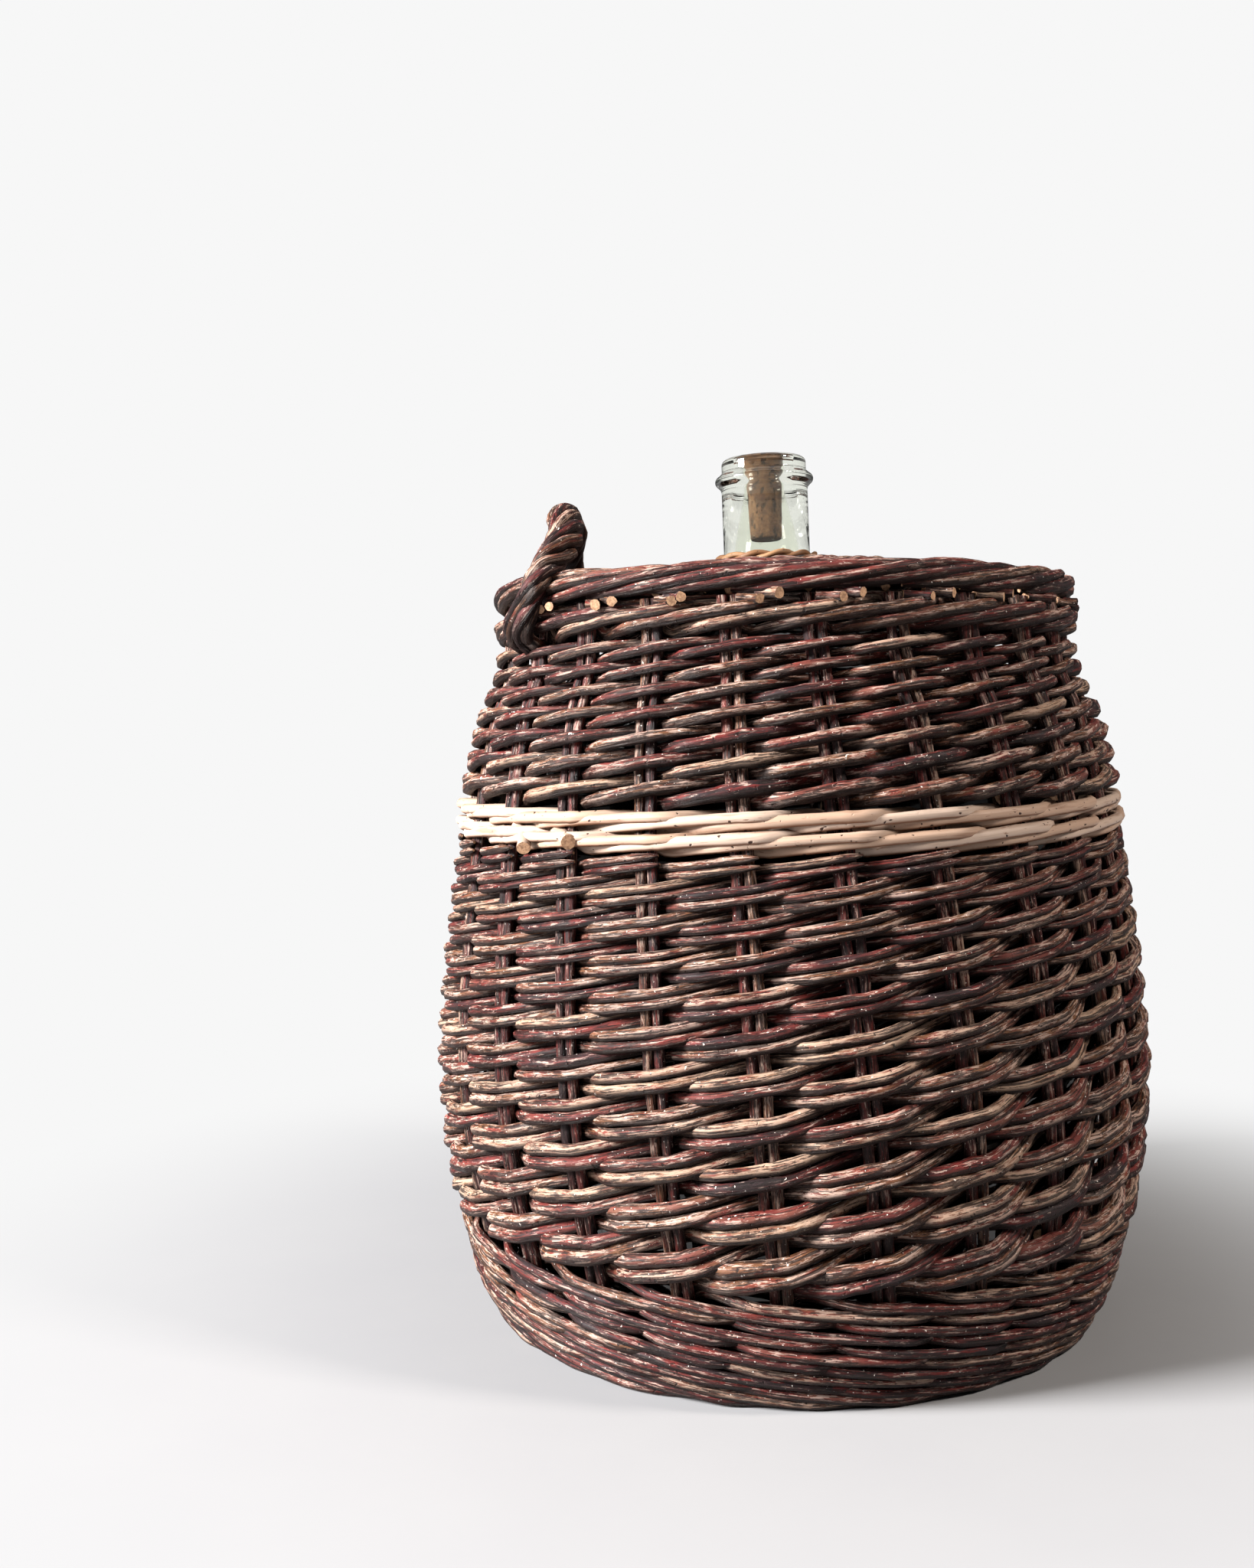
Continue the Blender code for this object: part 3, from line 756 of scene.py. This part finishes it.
border = {
    "middle": 0.1545,
    "height": 0.3995,
    "roll": 0.0052,
    "radius": 0.0031,
    "from": -85,
    "to": 175,
    "sweep": 68,
    "points": 30,
    "coreRadius": 0.0030,
    "stubRadius": 0.0025,
    "stubHeight": 0.3900,
    "stubInside": 0.0010,
    "stubOut": 0.0085,
    "stubRun": 0.075,
    "stubDrop": 0.0012,
    "stubStack": 0.0018,
    # degrees to each side of the handle where no stub shows
    "stubFree": 32,
}


def onRoll(around, angle, reach=1.0):
    # around turns about the roll's own middle: 0 outside, 90 on top
    radius = border["middle"] + border["roll"] * reach * math.cos(around)
    return polar(radius, angle, border["height"] + border["roll"] * reach * math.sin(around))


def buildBorder():
    dice = random.Random(57)
    rods = []
    core = [onRoll(0, math.tau * k / 96, 0) for k in range(96)]
    rods.append(newRod(core, border["coreRadius"], dice, ring=True))
    count = border["points"]
    for i in range(basket["stakes"]):
        for pair in (0, 1):
            # the second rod of a pair lies deeper, beside the first
            points = []
            begin = (i + 0.42 * pair) * stakeStep + dice.uniform(-0.03, 0.03)
            first = math.radians(border["from"] + dice.uniform(-8, 8))
            last = math.radians(border["to"] + dice.uniform(-8, 8))
            sweep = math.radians(border["sweep"] + dice.uniform(-7, 7))
            reach = dice.uniform(0.86, 1.32) - 0.42 * pair
            for k in range(count):
                t = k / (count - 1)
                points.append(onRoll(first + (last - first) * t, begin + sweep * t, reach))
            thick = border["radius"] * dice.uniform(0.88, 1.04) * (1 - 0.2 * pair)
            radius = [thick * (1.08 - 0.3 * k / (count - 1)) for k in range(count)]
            dark = dice.choice((0.0, 0.02, 0.06, 0.1, 0.14, 0.2, 0.24, 0.5))
            rods.append(newRod(points, radius, dice, [dark] * count, starts=4, ends=5))
        for pair in (0, 1):
            # stubs run along the wall and turn their cut faces outward
            begin = (i + 0.40 + 0.20 * pair) * stakeStep + dice.uniform(-0.02, 0.02)
            if abs(begin - math.pi) < math.radians(border["stubFree"]):
                continue
            z = border["stubHeight"] + border["stubStack"] * pair + dice.uniform(-0.0006, 0.0006)
            points = []
            for t in (0, 0.3, 0.55, 0.75, 0.9, 1):
                away = border["middle"] + border["stubInside"] + border["stubOut"] * t ** 2.5
                points.append(polar(away, begin - border["stubRun"] * (1 - t), z - border["stubDrop"] * t))
            rods.append(newRod(points, border["stubRadius"] * dice.uniform(0.85, 1.12), dice))
    rodPiece("rimBorder", rods, [willow, cutEnd], ["rim_border"])


buildBorder()
print("border rolled")


# Bottle: its axis leans left and a little back

bottle = {
    "lean": 1.3,
    "leanBack": 1.2,
    "offset": 0.0025,
    "seat": 0.01543,
    "lip": 0.480,
    "neckRadius": 0.0247,
    "bore": 0.0190,
    "mouth": 0.0112,
    "lipRadius": 0.0242,
    "beadRadius": 0.0282,
    "beadDrop": 0.0125,
    "beadHalf": 0.0042,
    "beadRound": 0.0030,
    "lipRound": 0.0030,
    "collar": 0.020,
    "glass": 0.0040,
    "body": [(0.0730, 0.3684), (0.1130, 0.3460), (0.1407, 0.3147), (0.1551, 0.2807), (0.1586, 0.2527),
             (0.1702, 0.1835), (0.1758, 0.1142), (0.1674, 0.0450), (0.1614, 0.0225), (0.1449, 0.0060),
             (0.1224, 0.0)],
    # inner radius of the neck and depth under the lip, between the bore and the mouth
    "throat": [(0.0185, 0.052), (0.0166, 0.040), (0.0144, 0.029), (0.0124, 0.019)],
    "heel": (0.1425, 0.0095),
    "punt": 0.012,
    "spins": 96,
}
leanLeft = math.tan(math.radians(bottle["lean"]))
leanBack = math.tan(math.radians(bottle["leanBack"]))
axis = Vector((-leanLeft, leanBack, 1)).normalized()
upright = Vector((0, 0, 1)).rotation_difference(axis).to_matrix().to_4x4()
bottlePlace = Matrix.Translation((bottle["offset"], 0, bottle["seat"])) @ upright
bottleTop = (bottle["lip"] - bottle["seat"]) / axis.z


def neckCentre(z):
    return Vector((bottle["offset"], 0, bottle["seat"])) + axis * ((z - bottle["seat"]) / axis.z)


def spun(name, profile, steps, place):
    # turns a closed or open half outline about the axis, with its poles welded
    shape = bmesh.new()
    verts = [shape.verts.new((radius, 0, z)) for radius, z in profile]
    edges = [shape.edges.new(pair) for pair in zip(verts, verts[1:])]
    bmesh.ops.spin(shape, geom=verts + edges, axis=(0, 0, 1), cent=(0, 0, 0), angle=math.tau, steps=steps,
                   use_merge=True)
    bmesh.ops.remove_doubles(shape, verts=shape.verts, dist=0.00002)
    bmesh.ops.recalc_face_normals(shape, faces=shape.faces)
    for face in shape.faces:
        face.smooth = True
    shape.transform(place)
    mesh = bpy.data.meshes.new(name)
    shape.to_mesh(mesh)
    shape.free()
    return mesh


def arc(centre, radius, start, end, count):
    # points on a circle in the outline's plane, angles in degrees
    turns = [math.radians(start + (end - start) * k / count) for k in range(count + 1)]
    return [(centre[0] + radius * math.cos(turn), centre[1] + radius * math.sin(turn)) for turn in turns]


def buildBottle():
    top = bottleTop
    bead = top - bottle["beadDrop"]
    edge = bottle["lipRound"]
    outer = arc((bottle["lipRadius"] - edge, top - edge), edge, 90, 0, 6)
    outer += [(bottle["lipRadius"], bead + bottle["beadHalf"] + 0.0012),
              (bottle["lipRadius"] + 0.0004, bead + 0.0044)]
    outer += arc((bottle["beadRadius"] - bottle["beadRound"], bead), bottle["beadRound"], 62, -62, 10)
    outer += [(bottle["neckRadius"] + 0.0004, bead - 0.0044), (bottle["neckRadius"], bead - 0.0060)]
    outer += [(bottle["neckRadius"], top - 0.04), (bottle["neckRadius"], top - 0.06),
              (bottle["neckRadius"] + 0.0006, top - 0.075), (0.0285, 0.3792)]
    body = lineThrough([Vector(co) for co in [(0.0350, 0.3765)] + bottle["body"]], 6)
    outer += [tuple(co) for co in body] + [(0.08, 0.0035), (0.04, 0.0090), (0.0, bottle["punt"])]
    glass = bottle["glass"]
    foot = bottle["body"][-1][0]
    inner = [(0.0, bottle["punt"] + glass), (0.05, 0.0110), (foot, glass)]
    shell = [Vector((max(x - glass, bottle["bore"]), z)) for x, z in bottle["body"][:-2]]
    shell = lineThrough(shell[::-1], 6)
    heel = lineThrough([Vector((foot, glass)), Vector(bottle["heel"]), shell[0]], 4)
    inner += [tuple(co) for co in heel[1:-1]]
    inner += [tuple(co) for co in shell]
    inner += [(0.0420, 0.3715), (0.0240, 0.3745), (bottle["bore"], 0.3830)]
    # the bore narrows gently to the mouth, so that the cork shows all the way down
    throat = [(bottle["bore"], 0.062)] + bottle["throat"] + [(bottle["mouth"], 0.009)]
    throat = [Vector((radius, top - drop)) for radius, drop in throat]
    inner += [tuple(co) for co in lineThrough(throat, 4)]
    inner += [(bottle["mouth"], top - 0.002), (bottle["mouth"] + 0.0008, top - 0.0004)]
    profile = outer + inner + [(bottle["mouth"] + 0.002, top), (bottle["lipRadius"] - edge, top)]
    mesh = spun("glassBottle", profile, bottle["spins"], bottlePlace)
    mesh.materials.append(greenGlass)
    addPiece("glassBottle", mesh, ["glass_bottle"])


cork = {
    "topRadius": 0.0113,
    "endRadius": 0.0091,
    "length": 0.0435,
    "sunk": 0.002,
    "edge": 0.0012,
    "endEdge": 0.001,
    # how far its worn side moves in and out, as shares of its radius
    "worn": (-0.012, 0.004),
}


def buildCork():
    dice = random.Random(71)
    top = bottleTop - cork["sunk"]
    low = top - cork["length"]
    profile = [(0.0, top + 0.0002), (0.005, top + 0.0001), (cork["topRadius"] - cork["edge"], top)]
    profile += arc((cork["topRadius"] - cork["edge"], top - cork["edge"]), cork["edge"], 70, 10, 3)
    for k in range(1, 26):
        share = k / 26
        radius = cork["topRadius"] + (cork["endRadius"] - cork["topRadius"]) * share
        profile.append((radius, top - cork["length"] * share))
    end = cork["endEdge"]
    profile += arc((cork["endRadius"] - end, low + end), end, 0, -90, 3)
    profile += [(0.005, low), (0.0, low)]
    mesh = spun("corkStopper", profile, 56, Matrix.Identity(4))
    for vertex in mesh.vertices:
        reach = vertex.co.xy.length
        if reach > 0.004 and low + end < vertex.co.z < top - bottle["collar"] - end:
            vertex.co.xy *= 1 + dice.uniform(*cork["worn"])
    mesh.transform(bottlePlace)
    mesh.materials.append(corkBark)
    addPiece("corkStopper", mesh, ["cork_stopper"], "cork")


buildBottle()
buildCork()
print("bottle blown and corked")


# Cover over the shoulders, woven in rounds from the border to the neck

cover = {
    "edge": 0.1466,
    "hole": 0.0264,
    "low": 0.3995,
    "rise": 0.020,
    "rounds": 21,
    "weave": 0.0021,
    "radius": 0.0025,
    "ribRadius": 0.0022,
    "ribDrop": 0.0006,
    "wander": 0.0002,
    # the ring of rods that closes the edge, under the border
    "edgeRing": 0.1445,
    "edgeHeight": 0.3890,
    "edgeRadius": 0.0036,
}


def onCover(radius, angle, lift):
    # the dome is drawn over to the leaning neck
    share = (cover["edge"] - radius) / (cover["edge"] - cover["hole"])
    z = cover["low"] + cover["rise"] * (1 - (1 - share) ** 2) - cover["weave"] - cover["radius"] + lift
    co = polar(radius, angle, z)
    centre = neckCentre(z)
    return co + share * Vector((centre.x, centre.y, -co.xy.dot(axis.xy) / axis.z))


def buildCover():
    dice = random.Random(83)
    rods = []
    width = cover["edge"] - cover["hole"]
    for i in range(basket["stakes"]):
        # every other rib stops short of the crowded neck
        count = 16 if i % 2 else 11
        points = [onCover(cover["edge"] - width * k / 16, i * stakeStep, -cover["ribDrop"])
                  for k in range(count)]
        rods.append(newRod(points, cover["ribRadius"], dice))
    edge = [polar(cover["edgeRing"], k / 4 * stakeStep, cover["edgeHeight"]) for k in range(96)]
    rods.append(newRod(edge, cover["edgeRadius"], dice, ring=True))
    steps = 8
    for row in range(cover["rounds"]):
        radius = cover["hole"] + width * (row + 0.5) / cover["rounds"]
        points = []
        for k in range(basket["stakes"] * steps):
            lift = -cover["weave"] * math.cos(math.pi * (k / steps + row))
            away = radius + dice.uniform(-1, 1) * cover["wander"]
            points.append(onCover(away, k / steps * stakeStep, lift))
        tones = toneRun(len(points), 40, dice, 0.3)
        rods.append(newRod(points, cover["radius"] * dice.uniform(0.92, 1.08), dice, tones, ring=True))
    rodPiece("shoulderCover", rods, [willow, cutEnd], ["shoulder_cover"], 2)


neckRing = {
    "height": 0.4231,
    "gap": 0.0028,
    "drop": 0.0010,
    "radius": 0.0015,
    "strand": 0.0016,
    "turns": 6,
    "count": 2,
}


def buildNeckRing():
    dice = random.Random(97)
    rods = []
    lift = neckCentre(neckRing["height"])
    for n in range(neckRing["count"]):
        points = []
        for k in range(144):
            turn = math.tau * k / 144
            twist = neckRing["turns"] * turn + math.tau * n / neckRing["count"]
            radius = bottle["neckRadius"] + neckRing["gap"] + neckRing["radius"] * math.cos(twist)
            lie = neckRing["radius"] * math.sin(twist) - neckRing["drop"]
            co = upright @ Vector((radius * math.cos(turn), radius * math.sin(turn), lie))
            points.append(lift + co)
        rods.append(newRod(points, neckRing["strand"], dice, ring=True))
    rodPiece("neckRing", rods, [ringWillow, cutEnd], ["neck_ring"], 2)


buildCover()
buildNeckRing()
print("cover closed round the neck")


# Handle: strands twisted together, spread and tucked in at both feet

handle = {
    # degrees round from the left, radius and height, from the near foot to the far one
    "line": [(33, 0.1660, 0.3740), (34.5, 0.1675, 0.3880), (36, 0.1670, 0.4000), (36.5, 0.1610, 0.4115),
             (36, 0.1510, 0.4205), (31, 0.1390, 0.4310), (17, 0.1270, 0.4415), (-2, 0.1225, 0.4450),
             (-17, 0.1270, 0.4420), (-27, 0.1390, 0.4330), (-33, 0.1490, 0.4215), (-36, 0.1610, 0.4120),
             (-36.5, 0.1670, 0.4000), (-36, 0.1675, 0.3880), (-35, 0.1660, 0.3740)],
    "strands": 5,
    "strand": 0.0033,
    "tight": 0.0035,
    "full": 0.0064,
    "turns": 4.4,
    "spread": 0.15,
    "bow": 0.0055,
    "core": 0.0030,
    # how many points of the line the core leaves free at each end
    "coreFree": 28,
    # how far each end goes into the wall, round it and down
    "tuck": 0.011,
    "tuckTurn": 0.018,
    "tuckDrop": 0.004,
    # degrees round and height of each strand's near foot, and what turns it into the far one
    "feet": [(33, 0.3745), (29, 0.3800), (24, 0.3790), (26, 0.3735), (31, 0.3720)],
    "farFeet": -8,
    "footOut": 0.0105,
}


def buildHandle():
    dice = random.Random(101)
    rods = []
    line = [polar(radius, math.pi + math.radians(turn), z) for turn, radius, z in handle["line"]]
    line = lineThrough(line, 9)
    count = len(line)
    for n in range(handle["strands"]):
        points = []
        for k, co in enumerate(line):
            share = k / (count - 1)
            ahead = (line[min(k + 1, count - 1)] - line[max(k - 1, 0)]).normalized()
            out = Vector((co.x, co.y, 0)).normalized()
            out = (out - ahead * out.dot(ahead)).normalized()
            side = ahead.cross(out)
            twist = math.tau * (handle["turns"] * share + n / handle["strands"])
            # the rope is drawn tight where it bends over the border
            reach = handle["tight"] + (handle["full"] - handle["tight"]) * ease((co.z - 0.406) / 0.016)
            swing = reach * (math.cos(twist) * out + math.sin(twist) * side)
            # at the feet the strands part, bow out and end in the wall
            loose = 1 - min(1, min(share, 1 - share) / handle["spread"])
            loose = ease(loose) ** 1.5
            turn, low = handle["feet"][n]
            turn = turn if share < 0.5 else handle["farFeet"] - turn
            foot = polar(stakeCircle(low) + handle["footOut"], math.pi + math.radians(turn), low)
            away = Vector((co.x, co.y, 0)).normalized()
            bow = handle["bow"] * math.sin(math.pi * min(1, loose * 1.1)) * away
            points.append((co + swing).lerp(foot, loose) + bow * (0.4 + 0.6 * (n % 3) / 2))
        for end in (0, -1):
            tip = points[end]
            turn = math.atan2(tip.y, tip.x) + (handle["tuckTurn"] if end else -handle["tuckTurn"])
            into = polar(tip.xy.length - handle["tuck"], turn, tip.z - handle["tuckDrop"])
            tail = [tip.lerp(into, 0.5) - Vector((0, 0, 0.0015)), into]
            points = tail[::-1] + points if end == 0 else points + tail
        dark = dice.choice((0.0, 0.06, 0.2, 0.5, 0.7))
        rods.append(newRod(points, handle["strand"] * dice.uniform(0.92, 1.1), dice, [dark] * len(points)))
    rods.append(newRod(line[handle["coreFree"]:-handle["coreFree"]], handle["core"], dice))
    rodPiece("handleRope", rods, [willow, cutEnd], ["handle_rope"])


buildHandle()
print("handle twisted")


# Base: a woven disc under the sticks, seen only from below

baseMat = {
    "inner": 0.014,
    "outer": 0.160,
    "rounds": 29,
    "radius": 0.0022,
    "low": 0.0046,
    "high": 0.0088,
    # the rods of the weave, and the rings that the basket stands on
    "rods": 18,
    "rings": 3,
    "ringOuter": 0.1555,
    "ringStep": 0.0048,
    "ringRadius": 0.0024,
    "ringHeight": 0.0026,
    "ringRise": 0.0003,
}


def buildBase():
    dice = random.Random(113)
    rods = []
    steps = 6
    total = baseMat["rounds"] * basket["stakes"] * steps
    spiral = []
    for k in range(total):
        radius = baseMat["outer"] - (baseMat["outer"] - baseMat["inner"]) * k / total
        lift = 0.5 + 0.5 * math.cos(math.pi * (k / steps) * 23 / 24)
        z = baseMat["low"] + (baseMat["high"] - baseMat["low"]) * lift
        spiral.append(polar(radius, (k / steps) * stakeStep + stakeTurn(stakePair["bendTurn"]), z))
    each = total // baseMat["rods"]
    for i in range(baseMat["rods"]):
        part = spiral[i * each:(i + 1) * each + 10]
        rods.append(newRod(part, baseMat["radius"], dice, toneRun(len(part), 40, dice, 0.3), ends=4))
    for k in range(baseMat["rings"]):
        radius = baseMat["ringOuter"] - baseMat["ringStep"] * k
        z = baseMat["ringHeight"] + baseMat["ringRise"] * k
        ring = [polar(radius, math.tau * j / 120, z) for j in range(120)]
        rods.append(newRod(ring, baseMat["ringRadius"], dice, toneRun(120, 24, dice, 0.4), ring=True))
    rodPiece("baseMat", rods, [willow, cutEnd], ["base_mat"], 2)


buildBase()
print("base woven")


# Floor, light and camera

studio = {
    "floor": tint(157, 157, 159),
    "floorCloud": tint(150, 150, 153),
    "white": 0.93,
    "sky": 0.04,
    # where the floor fades to white, in metres from the middle
    "fade": (0.42, 0.22),
    # each lamp's place, what it points at, its size, power and colour
    "lamps": {
        "keyLight": ((-4.0, -1.4, 1.95), (0, 0, 0.2), 1.3, 1010, (1.0, 0.985, 0.975)),
        "fillLight": ((1.9, -1.0, 2.0), (0, 0, 0.2), 0.4, 62, (1.0, 0.92, 0.84)),
        "topLight": ((0.1, 0.3, 1.9), (0, 0, 0.3), 1.2, 4, (1.0, 1.0, 1.0)),
    },
}


def addLamp(name, place, target, size, power, colour):
    lamp = bpy.data.lights.new(name, "AREA")
    lamp.energy = power
    lamp.size = size
    lamp.color = colour
    holder = bpy.data.objects.new(name, lamp)
    holder.location = place
    holder.rotation_euler = (Vector(target) - Vector(place)).to_track_quat("-Z", "Y").to_euler()
    bpy.context.scene.collection.objects.link(holder)


def whiteRays(wire):
    # what the camera, mirrors and glass see behind the object
    rays = [wire.node("ShaderNodeLightPath", None, None, name)
            for name in ("Is Camera Ray", "Is Transmission Ray", "Is Glossy Ray")]
    return wire.sum("MAXIMUM", wire.sum("MAXIMUM", rays[0], rays[1]), rays[2] * 0.10)


def buildStudio():
    shape = bmesh.new()
    bmesh.ops.create_circle(shape, cap_ends=True, segments=64, radius=14)
    mesh = bpy.data.meshes.new("floor")
    shape.to_mesh(mesh)
    shape.free()
    floor = bpy.data.objects.new("floor", mesh)
    bpy.context.scene.collection.objects.link(floor)
    material, wire, shader = newMaterial("paleFloor")
    place = wire.node("ShaderNodeTexCoord", None, None, "Object")
    cloud = wire.noise(place, 9, 4, 0.55)
    colour = wire.blend(cloud.above(0.5, 0.3) * 0.5, studio["floor"], studio["floorCloud"])
    plug(colour, shader, "Base Color")
    plug(0.55 + cloud * 0.15, shader, "Roughness")
    far = wire.node("ShaderNodeVectorMath", {"operation": "LENGTH"}, {0: place}, "Value")
    glow = wire.node("ShaderNodeEmission", None, {"Color": (1, 1, 1, 1), "Strength": studio["white"]})
    faded = wire.node("ShaderNodeMixShader", None, {0: far.above(*studio["fade"]) * whiteRays(wire),
                                                    1: Wire(wire.tree, shader.outputs[0]), 2: glow})
    wire.tree.links.new(faded.socket, wire.tree.nodes["Material Output"].inputs["Surface"])
    mesh.materials.append(material)

    world = bpy.data.worlds.new("studio")
    bpy.context.scene.world = world
    world.use_nodes = True
    wire = Wire(world.node_tree)
    back = world.node_tree.nodes["Background"]
    strength = whiteRays(wire) * (studio["white"] - studio["sky"]) + studio["sky"]
    back.inputs["Color"].default_value = (1, 1, 1, 1)
    world.node_tree.links.new(strength.socket, back.inputs["Strength"])

    for name, lamp in studio["lamps"].items():
        addLamp(name, *lamp)


camera = {
    "place": (-0.0843, -0.9164, 0.3365),
    "lens": 36.53,
    "turn": 0.354,
    "down": 2.637,
    "roll": -1.037,
}


def buildCamera():
    lens = bpy.data.cameras.new("camera")
    lens.lens = camera["lens"]
    lens.sensor_width = 36
    lens.clip_start = 0.01
    holder = bpy.data.objects.new("camera", lens)
    turn = Matrix.Rotation(math.radians(camera["turn"]), 4, "Z")
    turn = turn @ Matrix.Rotation(math.radians(90 - camera["down"]), 4, "X")
    turn = turn @ Matrix.Rotation(math.radians(camera["roll"]), 4, "Z")
    holder.matrix_world = Matrix.Translation(camera["place"]) @ turn
    bpy.context.scene.collection.objects.link(holder)
    bpy.context.scene.camera = holder


buildStudio()
buildCamera()
bpy.context.scene.view_settings.view_transform = "Standard"
print("stage set")
